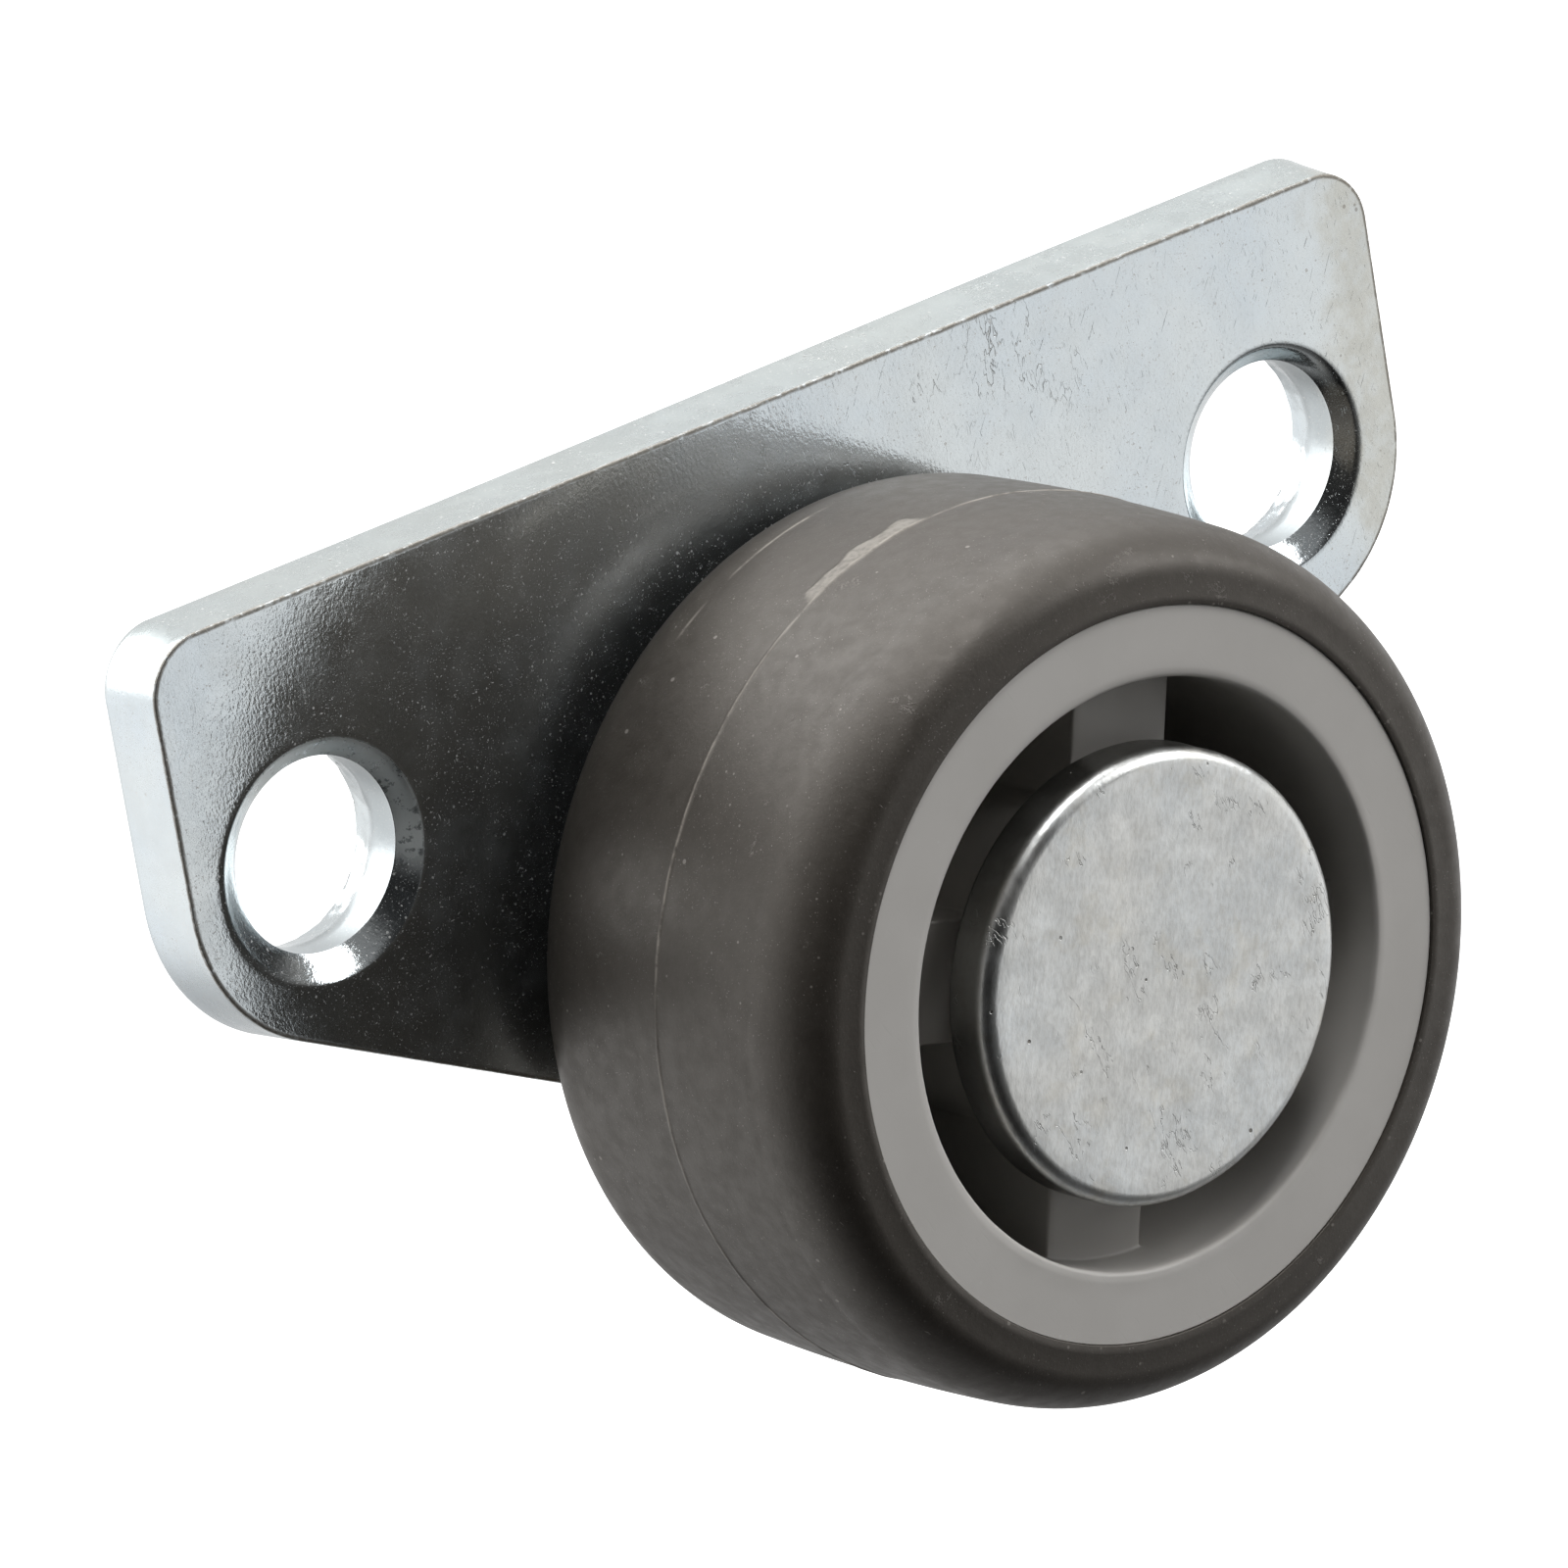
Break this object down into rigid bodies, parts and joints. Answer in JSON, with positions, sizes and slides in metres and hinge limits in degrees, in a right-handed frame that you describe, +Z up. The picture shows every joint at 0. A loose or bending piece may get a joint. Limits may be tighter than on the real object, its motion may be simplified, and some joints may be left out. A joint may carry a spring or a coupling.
{
  "type": "sliding door roller",
  "caption": "Side-mounted roller for a sliding door: wedge-shaped zinc-plated plate, riveted axle with a flat head, and a plastic wheel with a soft tyre.",
  "frame": {"origin": "midway between the two screw holes, on the plate's back face, which lies against the door", "axes": "+X along the plate's straight top edge, +Y out of the plate's back face towards the door, +Z up, towards the straight top edge; the axle lies along Y and the wheel is on the -Y side"},
  "size_m": [0.0486, 0.0171, 0.0301],
  "materials": {
    "plate_zinc": "bright blue-white zinc plating",
    "rivet_zinc": "satin zinc plating",
    "sleeve_steel": "drawn and oiled",
    "washer_plastic": "natural nylon",
    "hub_plastic": "smooth moulded light grey",
    "tyre_rubber": "matte moulded dark grey"
  },
  "bodies": {
    "bracket": {"mounting_plate": "plate_zinc", "axle_rivet": "rivet_zinc", "axle_sleeve": "sleeve_steel", "thrust_washer": "washer_plastic"},
    "wheel": {"wheel_hub": "hub_plastic", "tyre": "tyre_rubber"}
  },
  "joints": [
    {"name": "wheel_spin", "type": "hinge", "parent": "bracket", "child": "wheel", "pos_m": [0, -0.0098, -0.00815], "axis": [0, -1, 0], "continuous": true}
  ]
}
